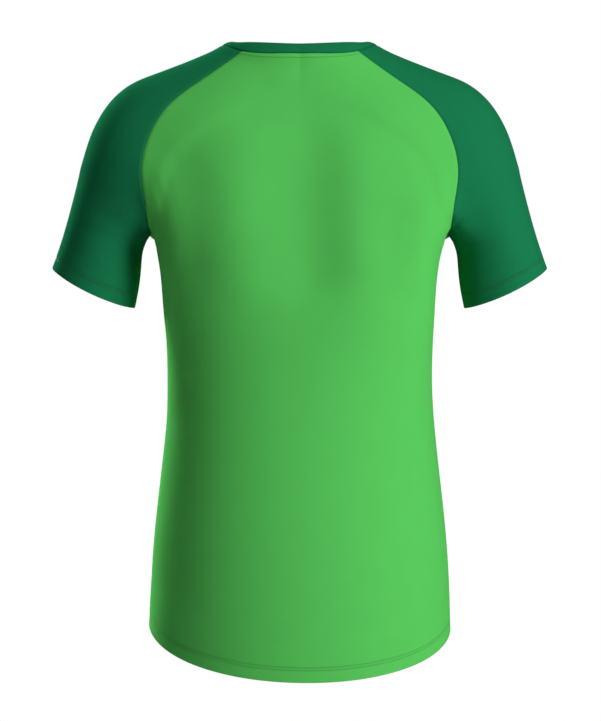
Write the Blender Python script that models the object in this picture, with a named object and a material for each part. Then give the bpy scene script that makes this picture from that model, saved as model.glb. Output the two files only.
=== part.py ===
"""Short-sleeved raglan sports shirt, filled out as if worn, from five cut pieces of knit cloth.

+Z is up, the back faces +Y and the front faces -Y, and X runs across the shoulders, with the
wearer's left side at +X. The origin is the middle of the neck opening, level with the high
points of the neck seam. All sizes are in metres and all angles in degrees.

The garment form is one smooth closed shape: a stack of body sections melted together with a
tapered tube that runs from the neck over each shoulder and down the sleeve. Every piece is a
grid of points laid on that form between its seams, and gets its wall by moving the points out
and in along the form's own normals.
"""

from collections import namedtuple

import bpy
import numpy as np

# ---------------------------------------------------------------- cloth and seams
CLOTH = 0.0015            # wall of the body and the sleeves
COLLAR_CLOTH = 0.0020     # wall of the neckband, two layers of the same knit
SEAM_GAP = 0.0003         # space between two sewn pieces

# ---------------------------------------------------------------- grid of each piece
RAGLAN_ROWS = 13          # cells along a raglan seam
SIDE_ROWS = 17            # cells along a side seam
UNDERARM_ROWS = 7         # cells along a sleeve's underarm seam
BODY_COLUMNS = 28         # cells across the back and across the front
SLEEVE_COLUMNS = 24       # cells round a sleeve
COLLAR_ROWS = 3           # cells across the neckband
SEAM_FINER = 12           # a seam is laid this many times finer before it is spaced evenly
ROW_FINER = 4             # and so is each row of a piece
SIDE_BUNCHING = 1.25      # above 1, a side seam's rows lie closer together at the armpit
UNDERARM_BUNCHING = 1.15  # the same for a sleeve's underarm seam
TINY = 1e-9               # keeps a division away from nothing

# ---------------------------------------------------------------- the body, from the neck down
Section = namedtuple("Section", "height half_width back front squareness")
BODY = [
    Section(0.040, 0.0620, 0.050, 0.056, 2.00),
    Section(0.000, 0.0660, 0.053, 0.062, 2.00),
    Section(-0.030, 0.0920, 0.066, 0.072, 2.20),
    Section(-0.070, 0.1480, 0.087, 0.090, 2.80),
    Section(-0.120, 0.1840, 0.105, 0.110, 3.20),
    Section(-0.165, 0.1790, 0.114, 0.122, 3.70),
    Section(-0.210, 0.1655, 0.117, 0.127, 4.20),
    Section(-0.240, 0.1598, 0.116, 0.126, 3.90),
    Section(-0.290, 0.1532, 0.112, 0.122, 3.00),
    Section(-0.380, 0.1482, 0.107, 0.116, 2.25),
    Section(-0.460, 0.1543, 0.114, 0.115, 2.10),
    Section(-0.560, 0.1650, 0.126, 0.118, 2.05),
    Section(-0.640, 0.1690, 0.130, 0.121, 2.05),
    Section(-0.760, 0.1690, 0.131, 0.122, 2.05),
]

# ---------------------------------------------------------------- the sleeve, from the neck out
Station = namedtuple("Station", "run out height radius depth centre")
SLEEVE = [
    Station(0.00, 0.0200, -0.0405, 0.0500, 0.056, 0.002),
    Station(0.12, 0.0780, -0.0620, 0.0530, 0.060, 0.002),
    Station(0.30, 0.1370, -0.0885, 0.0590, 0.067, 0.002),
    Station(0.40, 0.1601, -0.1021, 0.0621, 0.070, 0.001),
    Station(0.50, 0.1760, -0.1190, 0.0588, 0.073, 0.001),
    Station(0.60, 0.1847, -0.1420, 0.0584, 0.074, 0.001),
    Station(0.70, 0.1951, -0.1690, 0.0570, 0.072, 0.000),
    Station(0.85, 0.2195, -0.2170, 0.0442, 0.062, -0.002),
    Station(0.92, 0.2270, -0.2490, 0.0472, 0.058, -0.003),
    Station(1.00, 0.2360, -0.2850, 0.0498, 0.056, -0.004),
    Station(1.15, 0.2600, -0.3500, 0.0510, 0.056, -0.006),
]
SLEEVE_SPANS = 96         # straight spans that the sleeve's centre line is read as
NECK_RUN = 0.10           # where along that line a sleeve's first row lies
ARMPIT_RUN = 0.84         # where its row at the armpit lies
CUFF_RUN = 0.96           # and where its last row lies
RUN_AHEAD = 0.01          # how far ahead the line's direction is read

# How softly the body and the sleeve melt together: tight under the arm, wide everywhere else.
ARMPIT_HEIGHT = -0.212
SHOULDER_HEIGHT = -0.090
ARMPIT_MELT = 0.0020
SHOULDER_MELT = 0.0160
UNDERARM_WIDTH = 0.050    # how far to the front and back of the underarm line it stays tight
PULL_FADES = 0.028        # farther from the sleeve than this, its pull on the body fades out
MELT_SHARE = 0.25         # how soon it does: the smaller, the sooner

# ---------------------------------------------------------------- neckline and neckband
# Angles go round from the middle of the back (0) over a shoulder (90) to the front (180).
NeckPoint = namedtuple("NeckPoint", "angle across depth height")
NECK_SEAM = [
    NeckPoint(0, 0.0000, 0.061, -0.0180),
    NeckPoint(46, 0.0628, 0.047, -0.0140),
    NeckPoint(90, 0.0860, 0.003, -0.0030),
    NeckPoint(135, 0.0640, -0.055, -0.0520),
    NeckPoint(180, 0.0000, -0.088, -0.0860),
]
NECK_EDGE = [
    NeckPoint(0, 0.0000, 0.0585, -0.0050),
    NeckPoint(46, 0.0560, 0.0430, -0.0020),
    NeckPoint(90, 0.0745, 0.0030, 0.0035),
    NeckPoint(135, 0.0550, -0.0500, -0.0410),
    NeckPoint(180, 0.0000, -0.0800, -0.0735),
]
NECK_BACK_CORNER = 46     # angle at which the back raglan seam meets the neckline
NECK_FRONT_CORNER = 122   # angle at which the front raglan seam meets the neckline
COLLAR_BOW = 0.0008       # how far the neckband swells between its two edges

# ---------------------------------------------------------------- raglan seams
# Points between the neckline and the armpit, as seen from behind or from the front.
SeamPoint = namedtuple("SeamPoint", "across height")
BACK_RAGLAN = [
    SeamPoint(0.109, -0.0455),
    SeamPoint(0.143, -0.0725),
    SeamPoint(0.1655, -0.110),
    SeamPoint(0.1735, -0.148),
    SeamPoint(0.1705, -0.182),
]
FRONT_RAGLAN = [
    SeamPoint(0.107, -0.073),
    SeamPoint(0.135, -0.098),
    SeamPoint(0.156, -0.128),
    SeamPoint(0.166, -0.159),
    SeamPoint(0.169, -0.187),
]
ARMPIT_ACROSS = 0.1680    # the armpit's distance from the middle of the shirt
ARMPIT_SEARCH = 0.035     # how far above and below ARMPIT_HEIGHT its exact height is looked for
BEYOND = 0.200            # farther to the back or front than the shirt reaches anywhere
DEEPEST_END = 0.98        # a row's ends lie at most at this share of the depth of its middle
MIDDLE_HEIGHT = -0.300    # where the row of points that starts at the armpit crosses the middle
SLEEVE_ROW_SAG = 0.026    # how far a sleeve's row that starts at the armpit dips on its way round
SLEEVE_ROW_SPREAD = 4.0   # over how many rows to either side that dip fades out

# ---------------------------------------------------------------- hem and cuffs
HEM_SIDE = -0.6550        # height of the hem at the side seams
HEM_BACK_DROP = 0.0430    # how much lower it hangs at the middle of the back
HEM_FRONT_DROP = 0.0300   # and at the middle of the front
HEM_TURN = 0.10           # softness of its turn at each side seam
HEM_TILT = 0.0030         # one side hangs this much lower, the other this much higher
CUFF_OUTER = SeamPoint(0.2770, -0.2513)
CUFF_INNER = SeamPoint(0.1880, -0.2950)
CUFF_SAG = 0.0050         # how far the cuff's front and back bulge below its corners

# ---------------------------------------------------------------- the largest folds
# Soft ridges (height above 0) and troughs (below 0) along a line on one face of the shirt.
Fold = namedtuple("Fold", "face x_top z_top x_low z_low width height")
BACK = 1
FRONT = -1
FOLDS = [
    Fold(BACK, -0.010, -0.110, -0.014, -0.260, 0.034, -0.0045),
    Fold(BACK, 0.066, -0.120, 0.064, -0.260, 0.035, 0.0050),
    Fold(BACK, -0.064, -0.140, -0.064, -0.235, 0.030, 0.0035),
    Fold(BACK, 0.152, -0.245, 0.140, -0.300, 0.020, 0.0020),
    Fold(BACK, 0.188, -0.196, 0.194, -0.285, 0.018, 0.0030),
    Fold(BACK, -0.184, -0.212, -0.190, -0.290, 0.018, 0.0035),
    Fold(FRONT, 0.150, -0.215, 0.092, -0.285, 0.018, -0.0045),
    Fold(FRONT, -0.150, -0.215, -0.098, -0.295, 0.018, -0.0040),
    Fold(FRONT, 0.018, -0.180, 0.026, -0.420, 0.034, -0.0040),
    Fold(FRONT, -0.056, -0.300, -0.044, -0.560, 0.032, 0.0030),
    Fold(FRONT, 0.078, -0.330, 0.070, -0.600, 0.034, 0.0030),
]
FACE_TURN = 0.030         # how far round from one face to the other a fold fades out

# ---------------------------------------------------------------- finish
Finish = namedtuple("Finish", "colour roughness")
LIGHT_GREEN = Finish((0.110, 0.560, 0.120), 0.80)
DARK_GREEN = Finish((0.010, 0.150, 0.065), 0.80)


# ================================================================ curves through short tables
def spline(knots, values, at):
    """Natural cubic through a table: its bend is continuous at every row and none at the ends."""
    gap = np.diff(knots)
    count = len(knots)
    system = np.eye(count)
    target = np.zeros_like(values)
    for row in range(1, count - 1):
        before, after = gap[row - 1], gap[row]
        system[row, row - 1:row + 2] = before, 2 * (before + after), after
        target[row] = 6 * (values[row + 1] - values[row]) / after
        target[row] -= 6 * (values[row] - values[row - 1]) / before
    bend = np.linalg.solve(system, target)
    at = np.clip(at, knots[0], knots[-1])
    span = np.clip(np.searchsorted(knots, at) - 1, 0, count - 2)
    left = ((knots[span + 1] - at) / gap[span])[..., None]
    right = 1 - left
    pull = (gap[span] ** 2)[..., None] / 6
    straight = left * values[span] + right * values[span + 1]
    return straight + pull * ((left ** 3 - left) * bend[span] + (right ** 3 - right) * bend[span + 1])


def read_table(rows, at):
    """A table's other columns at any value of its first column, as a smooth curve."""
    table = np.array(sorted(rows), dtype=float)
    return np.moveaxis(spline(table[:, 0], table[:, 1:], np.asarray(at, dtype=float)), -1, 0)


def smooth_step(value):
    """0 below 0, 1 above 1, and a soft S between."""
    value = np.clip(value, 0, 1)
    return value * value * (3 - 2 * value)


# ================================================================ the garment form
def body_gap(points):
    """Distance outside the body: each level is a superellipse, deeper in front than behind."""
    across, depth, height = np.abs(points[..., 0]), points[..., 1], points[..., 2]
    half_width, back, front, squareness = read_table(BODY, height)
    half_depth = np.where(depth > 0, back, front)
    reach = np.hypot(across, depth) + TINY
    ratio = (across / half_width) ** squareness + (np.abs(depth) / half_depth) ** squareness
    return reach - reach / (ratio ** (1 / squareness) + TINY)


def sleeve_gap(points):
    """Distance outside the sleeve: an elliptical tube round the nearest place on its centre line."""
    run = np.linspace(SLEEVE[0].run, SLEEVE[-1].run, SLEEVE_SPANS + 1)
    path = np.stack(read_table(SLEEVE, run)[:2], axis=-1)
    start, step = path[:-1], np.diff(path, axis=0)
    place = np.stack([np.abs(points[..., 0]), points[..., 2]], axis=-1)[..., None, :]
    along = np.clip(((place - start) * step).sum(-1) / (step * step).sum(-1), 0, 1)
    distance = np.linalg.norm(place - start - along[..., None] * step, axis=-1)
    nearest = distance.argmin(-1)[..., None]
    aside = np.take_along_axis(distance, nearest, -1)[..., 0]
    along = (nearest + np.take_along_axis(along, nearest, -1))[..., 0]
    radius, half_depth, centre = read_table(SLEEVE, run[0] + along * (run[1] - run[0]))[2:]
    depth = points[..., 1] - centre
    reach = np.hypot(aside, depth) + TINY
    return reach - reach / (np.hypot(aside / radius, depth / half_depth) + TINY)


def fold_height(points):
    """How far the folds raise the cloth: each is a bell across its line, fading at the ends."""
    raised = np.zeros(points.shape[:-1])
    place = points[..., [0, 2]]
    for fold in FOLDS:
        top = np.array([fold.x_top, fold.z_top])
        step = np.array([fold.x_low, fold.z_low]) - top
        along = np.clip(((place - top) @ step) / (step @ step), 0, 1)
        distance = np.linalg.norm(place - top - along[..., None] * step, axis=-1)
        face = 0.5 + 0.5 * np.tanh(fold.face * points[..., 1] / FACE_TURN)
        raised += fold.height * face * np.exp(-(distance / fold.width) ** 2)
    return raised


def form_gap(points):
    """Distance outside the garment form: body and sleeve melted together, raised by the folds."""
    rise = (points[..., 2] - ARMPIT_HEIGHT) / (SHOULDER_HEIGHT - ARMPIT_HEIGHT)
    tight = (1 - smooth_step(rise)) * np.exp(-(points[..., 1] / UNDERARM_WIDTH) ** 4)
    melt = SHOULDER_MELT - (SHOULDER_MELT - ARMPIT_MELT) * tight
    sleeve = sleeve_gap(points)
    sleeve = sleeve * (1 + smooth_step((sleeve - PULL_FADES) / PULL_FADES) / MELT_SHARE)
    joined = -melt * np.logaddexp(-body_gap(points) / melt, -sleeve / melt)
    return joined - fold_height(points)


def form_slope(points, nudge=0.0002):
    """The direction in which the distance outside the form grows fastest."""
    axes = np.eye(3) * nudge
    change = [form_gap(points + axis) - form_gap(points - axis) for axis in axes]
    return np.stack(change, axis=-1) / (2 * nudge)


def pull_to_form(points, rounds=8, longest=0.012):
    """Moves points straight towards the form's surface until they lie on it."""
    for _ in range(rounds):
        slope = form_slope(points)
        move = -slope * (form_gap(points) / (slope ** 2).sum(-1))[..., None]
        length = np.linalg.norm(move, axis=-1, keepdims=True)
        points = points + move * np.minimum(1, longest / (length + TINY))
    return points


def normals(points):
    """Outward unit directions of the form at points on it."""
    slope = form_slope(points)
    return slope / np.linalg.norm(slope, axis=-1, keepdims=True)


def cross_form(inside, outside, rounds=40):
    """The point where the line from inside to outside leaves the form, by halving."""
    for _ in range(rounds):
        middle = (inside + outside) / 2
        within = (form_gap(middle) < 0)[..., None]
        inside = np.where(within, middle, inside)
        outside = np.where(within, outside, middle)
    return (inside + outside) / 2


# ================================================================ even spacing
def space_out(line, share):
    """Points of a line at the given shares of its length."""
    step = np.linalg.norm(np.diff(line, axis=0), axis=-1)
    length = np.concatenate([[0], np.cumsum(step)])
    return np.stack([np.interp(share * length[-1], length, axis) for axis in line.T], axis=-1)


def space_rows(grid, columns):
    """Each row of a fine grid read again at evenly spaced places."""
    share = np.linspace(0, 1, columns + 1)
    return np.stack([space_out(row, share) for row in grid])


# ================================================================ seams
def neck_point(rows, side, angle):
    """A point on a closed neck curve: the table's half turn, mirrored about its two ends."""
    before = [NeckPoint(-row.angle, -row.across, row.depth, row.height) for row in rows[1:3]]
    beyond = [NeckPoint(360 - row.angle, -row.across, row.depth, row.height) for row in rows[-3:-1]]
    across, depth, height = read_table(before + rows + beyond, angle)
    return np.stack([side * across, depth, height], axis=-1)


def neck_line(side, first, last, cells):
    """The neck seam between two angles, evenly spaced on the form."""
    fine = pull_to_form(neck_point(NECK_SEAM, side, np.linspace(first, last, SEAM_FINER * cells + 1)))
    return space_out(fine, np.linspace(0, 1, cells + 1))


def armpit_point(side):
    """Where the gap between the sleeve and the body closes, at its given distance out."""
    inside = np.array([side * ARMPIT_ACROSS, 0, ARMPIT_HEIGHT + ARMPIT_SEARCH])
    outside = np.array([side * ARMPIT_ACROSS, 0, ARMPIT_HEIGHT - ARMPIT_SEARCH])
    return cross_form(inside, outside)


def raglan_seam(side, face):
    """A raglan seam from the neckline to the armpit, evenly spaced on the back or front."""
    corner = NECK_BACK_CORNER if face == BACK else NECK_FRONT_CORNER
    rows = BACK_RAGLAN if face == BACK else FRONT_RAGLAN
    top = pull_to_form(neck_point(NECK_SEAM, side, float(corner)))
    end = armpit_point(side)
    middle = [[side * row.across, row.height] for row in rows]
    plan = np.array([top[[0, 2]], *middle, end[[0, 2]]])
    step = np.concatenate([[0], np.cumsum(np.linalg.norm(np.diff(plan, axis=0), axis=-1))])
    share = 1 - (1 - np.linspace(0, 1, SEAM_FINER * RAGLAN_ROWS)[1:-1]) ** 2
    flat = spline(step, plan, share * step[-1])
    inside = np.stack([flat[:, 0], 0 * flat[:, 0], flat[:, 1]], axis=-1)
    fine = np.concatenate([[top], cross_form(inside, inside + [0, face * BEYOND, 0]), [end]])
    return space_out(fine, np.linspace(0, 1, RAGLAN_ROWS + 1))


def hem_height(across, round_share, face):
    """Height of the hem: round_share is 0 at a side seam and 1 at the middle of a face."""
    drop = HEM_BACK_DROP if face == BACK else HEM_FRONT_DROP
    soft = np.hypot(round_share, HEM_TURN) - HEM_TURN
    full = np.hypot(1, HEM_TURN) - HEM_TURN
    return HEM_SIDE - drop * soft / full + HEM_TILT * across / BODY[-1].half_width


def side_seam(side):
    """From the armpit down the side of the body to the hem."""
    top = armpit_point(side)
    corner = side * BODY[-1].half_width
    low = pull_to_form(np.array([corner, 0, hem_height(corner, 0, BACK)]))
    share = np.linspace(0, 1, SEAM_FINER * SIDE_ROWS + 1)
    height = top[2] + (low[2] - top[2]) * share ** 2
    half_width = read_table(BODY, height)[0]
    inward = np.where(share > 0, half_width, ARMPIT_ACROSS)
    fine = pull_to_form(np.stack([side * inward, 0 * inward, height], axis=-1)[1:])
    fine = np.concatenate([[top], fine])
    return space_out(fine, np.linspace(0, 1, SIDE_ROWS + 1) ** SIDE_BUNCHING)


def cuff_ring(side, angle):
    """The cuff: angle 0 is its outer corner, 180 its inner one, and -90 its front."""
    outer, inner = np.array(CUFF_OUTER), np.array(CUFF_INNER)
    middle, arm = (outer + inner) / 2, (outer - inner) / 2
    turn = np.radians(angle)
    flat = middle + arm * np.cos(turn)[..., None]
    sag = CUFF_SAG * np.sin(turn) ** 2
    depth = SLEEVE[-2].centre + SLEEVE[-2].depth * np.sin(turn)
    return pull_to_form(np.stack([side * flat[..., 0], depth, flat[..., 1] - sag], axis=-1))


def underarm_seam(side):
    """From the armpit down the inner side of the sleeve to the cuff."""
    top = armpit_point(side)
    low = cuff_ring(side, np.array(180.0))
    share = np.linspace(0, 1, SEAM_FINER * UNDERARM_ROWS + 1)[:, None]
    fine = np.concatenate([[top], pull_to_form((top + (low - top) * share)[1:])])
    return space_out(fine, np.linspace(0, 1, UNDERARM_ROWS + 1) ** UNDERARM_BUNCHING)


# ================================================================ pieces as grids of points
def meet_edges(grid, top, low, left, right):
    """Shifts a first guess of a piece so that its four edges lie on its seams."""
    down = np.linspace(0, 1, grid.shape[0])[:, None, None]
    across = np.linspace(0, 1, grid.shape[1])[None, :, None]
    grid = grid + (1 - down) ** 2 * (top - grid[0]) + down ** 2 * (low - grid[-1])
    grid = grid + (1 - across) ** 2 * (left - grid[:, 0])[:, None]
    return grid + across ** 2 * (right - grid[:, -1])[:, None]


def lay_piece(guess, top, low, left, right, columns):
    """A piece's grid: a fine guess met to its seams, pulled to the form and evenly spaced."""
    fine = pull_to_form(meet_edges(guess, top, low, left, right))
    fine[0], fine[-1], fine[:, 0], fine[:, -1] = top, low, left, right
    grid = pull_to_form(space_rows(fine, columns))
    grid[:, 0], grid[:, -1] = left, right
    return grid


def hem_line(face, left, right, cells):
    """The hem from one side seam round the back or front to the other."""
    turn = np.radians(np.linspace(90, -90, cells + 1))
    half_width = read_table(BODY, HEM_SIDE)[0]
    half_depth = read_table(BODY, HEM_SIDE)[1 if face == BACK else 2]
    across = half_width * np.sin(turn)
    line = np.stack([across, face * half_depth * np.cos(turn),
                     hem_height(across, np.cos(turn), face)], axis=-1)
    line = pull_to_form(line)
    line[:, 2] = hem_height(line[:, 0], np.abs(line[:, 1]) / half_depth, face)
    line[0], line[-1] = left, right
    return pull_to_form(line)


def body_panel(face):
    """The back or the front: each row is an arc of an ellipse from the +X seam to the -X seam."""
    fine = ROW_FINER * BODY_COLUMNS
    left = np.concatenate([raglan_seam(1, face), side_seam(1)[1:]])
    right = np.concatenate([raglan_seam(-1, face), side_seam(-1)[1:]])
    corner = NECK_BACK_CORNER if face == BACK else NECK_FRONT_CORNER
    middle = 0 if face == BACK else 180
    half = neck_line(1, corner, middle, fine // 2)
    other = neck_line(-1, middle, corner, fine // 2)
    top = np.concatenate([half, other[1:]])
    low = hem_line(face, left[-1], right[-1], fine)
    middle = body_middle(face, top, low)
    between = (left + right) / 2
    first = np.arcsin(np.clip(between[:, 1] / middle[:, 1], 0, DEEPEST_END))[:, None]
    turn = first + (np.pi - 2 * first) * np.linspace(0, 1, fine + 1)
    swing = (np.cos(turn) / np.cos(first))[..., None] * (left - right)[:, None] / 2
    rise = ((np.sin(turn) - np.sin(first)) / (1 - np.sin(first)))[..., None]
    guess = between[:, None] + swing + (middle - between)[:, None] * rise
    return lay_piece(guess, top, low, left, right, BODY_COLUMNS)


def body_middle(face, top, low):
    """Where each row crosses the middle of the back or front, evenly above and below the arm."""
    above = np.linspace(top[len(top) // 2, 2], MIDDLE_HEIGHT, RAGLAN_ROWS + 1)
    below = np.linspace(MIDDLE_HEIGHT, low[len(low) // 2, 2], SIDE_ROWS + 1)
    height = np.concatenate([above, below[1:]])
    depth = face * read_table(BODY, height)[1 if face == BACK else 2]
    return np.stack([0 * height, depth, height], axis=-1)


def sleeve_rows(side):
    """A first guess of the sleeve: ellipses square to its centre line, open at the raglan."""
    back = np.concatenate([raglan_seam(side, BACK), underarm_seam(side)[1:]])
    front = np.concatenate([raglan_seam(side, FRONT), underarm_seam(side)[1:]])
    raglan_run = np.linspace(NECK_RUN, ARMPIT_RUN, RAGLAN_ROWS + 1)
    underarm_run = np.linspace(ARMPIT_RUN, CUFF_RUN, UNDERARM_ROWS + 1)
    run = np.concatenate([raglan_run, underarm_run[1:]])
    out, height, radius, half_depth, centre = read_table(SLEEVE, run)
    ahead = np.array(read_table(SLEEVE, run + RUN_AHEAD)[:2]) - np.array([out, height])
    ahead = ahead / np.linalg.norm(ahead, axis=0)
    middle = np.stack([side * out, centre, height], axis=-1)
    outward = np.stack([-side * ahead[1], 0 * out, ahead[0]], axis=-1) * radius[:, None]
    turn_back = seam_turn(back, middle, outward, half_depth)
    turn_front = seam_turn(front, middle, outward, half_depth)
    turn_back[RAGLAN_ROWS:] = np.pi
    turn_front[RAGLAN_ROWS:] = np.pi
    share = np.linspace(0, 1, ROW_FINER * SLEEVE_COLUMNS + 1)[None, :]
    turn = turn_back[:, None] * (1 - share) - turn_front[:, None] * share
    guess = middle[:, None] + outward[:, None] * np.cos(turn)[..., None]
    guess[..., 1] += half_depth[:, None] * np.sin(turn)
    from_armpit = (np.arange(len(run)) - RAGLAN_ROWS) / SLEEVE_ROW_SPREAD
    sag = SLEEVE_ROW_SAG * np.exp(-from_armpit ** 2)
    guess[..., 2] -= sag[:, None] * np.abs(np.sin(turn))
    return guess, back, front


def seam_turn(seam, middle, outward, half_depth):
    """How far round the sleeve's ellipse a seam lies, from its outer side, in radians."""
    away = seam - middle
    out = (away * outward).sum(-1) / (outward ** 2).sum(-1)
    return np.arctan2(np.abs(away[:, 1]) / half_depth, out)


def sleeve_panel(side):
    """A sleeve: rows run from the back seam over the outer side to the front seam."""
    guess, back, front = sleeve_rows(side)
    fine = ROW_FINER * SLEEVE_COLUMNS
    top = neck_line(side, NECK_BACK_CORNER, NECK_FRONT_CORNER, fine)
    low = cuff_ring(side, np.linspace(180, -180, fine + 1))
    return lay_piece(guess, top, low, back, front, SLEEVE_COLUMNS)


# ================================================================ walls and meshes
def open_seams(grid, facing, edges):
    """Moves the named edges in along the cloth by half the seam gap."""
    moved = grid.copy()
    views = {"left": (np.s_[:, 0], np.s_[:, 1]), "right": (np.s_[:, -1], np.s_[:, -2]),
             "top": (np.s_[0], np.s_[1]), "low": (np.s_[-1], np.s_[-2])}
    for name in edges:
        edge, inner = views[name]
        along = np.gradient(grid[edge], axis=0)
        inward = np.cross(facing[edge], along)
        inward /= np.linalg.norm(inward, axis=-1, keepdims=True)
        towards = ((grid[inner] - grid[edge]) * inward).sum(-1, keepdims=True)
        moved[edge] += SEAM_GAP / 2 * inward * np.sign(towards)
    return moved


def wall_faces(rows, columns, closed):
    """Triangles of a wall: outer grid, inner grid cut along the same diagonals, and the rims."""
    index = np.arange(rows * columns).reshape(rows, columns)
    if closed:
        index = np.concatenate([index, index[:, :1]], axis=1)
    outer = triangles(index[:-1, :-1], index[:-1, 1:], index[1:, 1:], index[1:, :-1])
    inner = outer[:, ::-1] + rows * columns
    rims = [index[0], index[-1][::-1]]
    if not closed:
        rims += [index[::-1, 0], index[:, -1]]
    faces = [outer, inner]
    for rim in rims:
        under = rim + rows * columns
        faces.append(triangles(rim[1:], rim[:-1], under[:-1], under[1:]))
    return np.concatenate(faces)


def triangles(first, second, third, fourth):
    """Two triangles for each four-cornered cell."""
    halves = [np.stack([first, second, third], axis=-1), np.stack([first, third, fourth], axis=-1)]
    return np.concatenate(halves, axis=-2).reshape(-1, 3)


def add_wall(name, grid, facing, thickness, finish, closed=False):
    """A closed cloth wall about a grid of points, as one object with its own material."""
    rows, columns = grid.shape[:2]
    outer = grid + facing * thickness / 2
    inner = grid - facing * thickness / 2
    points = np.concatenate([outer.reshape(-1, 3), inner.reshape(-1, 3)])
    faces = wall_faces(rows, columns, closed)
    if not winds_outward(outer, facing):
        faces = faces[:, ::-1]
    mesh = bpy.data.meshes.new(name)
    mesh.from_pydata(points.tolist(), [], faces.tolist())
    mesh.materials.append(cloth_material(name, finish))
    mesh.shade_smooth()
    part = bpy.data.objects.new(name, mesh)
    bpy.context.collection.objects.link(part)
    return part


def winds_outward(outer, facing):
    """Whether the grid's own winding looks out of the garment."""
    down = outer[1:, :-1] - outer[:-1, :-1]
    across = outer[:-1, 1:] - outer[:-1, :-1]
    return (np.cross(across, down) * facing[:-1, :-1]).sum() > 0


def cloth_material(name, finish):
    """Matt knit of one colour."""
    material = bpy.data.materials.new(name + "_cloth")
    material.use_nodes = True
    shader = material.node_tree.nodes["Principled BSDF"]
    shader.inputs["Base Color"].default_value = (*finish.colour, 1)
    shader.inputs["Roughness"].default_value = finish.roughness
    shader.inputs["Metallic"].default_value = 0
    return material


# ================================================================ the five pieces
def make_body(name, face):
    """The back or front panel, parted from its neighbours at every seam but the hem."""
    grid = body_panel(face)
    facing = normals(grid)
    parted = open_seams(grid, facing, ("left", "right", "top"))
    add_wall(name, parted, facing, CLOTH, LIGHT_GREEN)
    return grid[0]


def make_sleeve(name, side):
    """One sleeve, parted at both raglan seams, at the neck and along its own underarm seam."""
    grid = sleeve_panel(side)
    facing = normals(grid)
    parted = open_seams(grid, facing, ("left", "right", "top"))
    add_wall(name, parted, facing, CLOTH, DARK_GREEN)
    return grid[0]


def make_collar(name, back, left, front, right):
    """The neckband: straight across from the neck seam to its free edge, with a slight bow."""
    seam = np.concatenate([back[::-1][:-1], left[:-1], front[:-1], right[::-1][:-1]])
    angle = np.degrees(np.arctan2(np.abs(seam[:, 0]), neck_share(seam)))
    edge = neck_point(NECK_EDGE, np.sign(seam[:, 0] + TINY), angle)
    across = np.linspace(1, 0, COLLAR_ROWS + 1)[:, None, None]
    bow = COLLAR_BOW * np.sin(np.pi * across)
    outward = normals(seam)
    grid = seam + (edge - seam) * across
    around = np.roll(grid, -1, axis=1) - np.roll(grid, 1, axis=1)
    own = np.cross(around, (edge - seam)[None])
    own /= np.linalg.norm(own, axis=-1, keepdims=True)
    own *= np.sign((own * outward).sum(-1, keepdims=True))
    facing = outward * (1 - across) + own * across
    facing /= np.linalg.norm(facing, axis=-1, keepdims=True)
    grid = grid + bow * facing
    lift = np.cross(around[-1], outward)
    lift /= np.linalg.norm(lift, axis=-1, keepdims=True)
    lift *= np.sign(((edge - seam) * lift).sum(-1, keepdims=True))
    grid[-1] += SEAM_GAP / 2 * lift
    add_wall(name, grid, facing, COLLAR_CLOTH, DARK_GREEN, closed=True)


def neck_share(seam):
    """How far towards the back each point of the neck seam lies, scaled to the seam's own width."""
    back, front = NECK_SEAM[0].depth, NECK_SEAM[-1].depth
    side = NECK_SEAM[2].depth
    width = NECK_SEAM[2].across
    away = seam[:, 1] - side
    return away * width / np.where(away > 0, back - side, side - front)


def clear_scene():
    """Starts from an empty scene."""
    for item in list(bpy.data.objects):
        bpy.data.objects.remove(item, do_unlink=True)


def main():
    clear_scene()
    back = make_body("back", BACK)
    front = make_body("front", FRONT)
    left = make_sleeve("sleeve_left", 1)
    right = make_sleeve("sleeve_right", -1)
    make_collar("collar", back, left, front, right)


main()
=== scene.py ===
"""Looks of the short-sleeved raglan sports shirt: knit cloth, turned hems, stitching and studio.

Every piece is a sheet of cloth laid on the same garment form as its solid: a stack of body
sections melted together with a bent, tapered sleeve tube. A coarse grid of points is pulled onto
that form between the seams, read again as a smooth curved surface with fine rows at the edges,
creased, sunk a little into its seams, turned up at its hem and given its thickness.

+Z is up, the back faces +Y, and the wearer's left side is at +X. Sizes are in metres.
"""
import functools
from collections import namedtuple

import bpy
import numpy as np
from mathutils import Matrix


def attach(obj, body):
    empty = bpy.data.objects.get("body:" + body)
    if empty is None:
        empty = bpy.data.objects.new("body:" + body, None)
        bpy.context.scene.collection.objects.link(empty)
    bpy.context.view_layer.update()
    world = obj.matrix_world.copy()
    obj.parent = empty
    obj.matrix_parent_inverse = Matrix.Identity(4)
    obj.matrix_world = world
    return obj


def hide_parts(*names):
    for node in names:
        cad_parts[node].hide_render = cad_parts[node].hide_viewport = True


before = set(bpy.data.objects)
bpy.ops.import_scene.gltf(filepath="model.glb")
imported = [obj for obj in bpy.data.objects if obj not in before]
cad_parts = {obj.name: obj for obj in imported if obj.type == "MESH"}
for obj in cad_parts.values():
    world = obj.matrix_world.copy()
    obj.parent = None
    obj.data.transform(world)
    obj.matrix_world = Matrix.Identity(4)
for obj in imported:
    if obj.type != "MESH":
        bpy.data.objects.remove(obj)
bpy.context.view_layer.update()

bl_info = {
    "name": "Raglan Sports Shirt",
    "version": (1, 0, 0),
    "blender": (4, 5, 0),
    "location": "3D View > Sidebar > Shirt",
    "description": "Sews a filled-out raglan sports shirt and sets it in a plain studio",
    "category": "Add Mesh",
}

BODY_NAME = "root"
LEFT, RIGHT = 1, -1
BACK, FRONT = 1, -1
TINY = 1e-9

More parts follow.
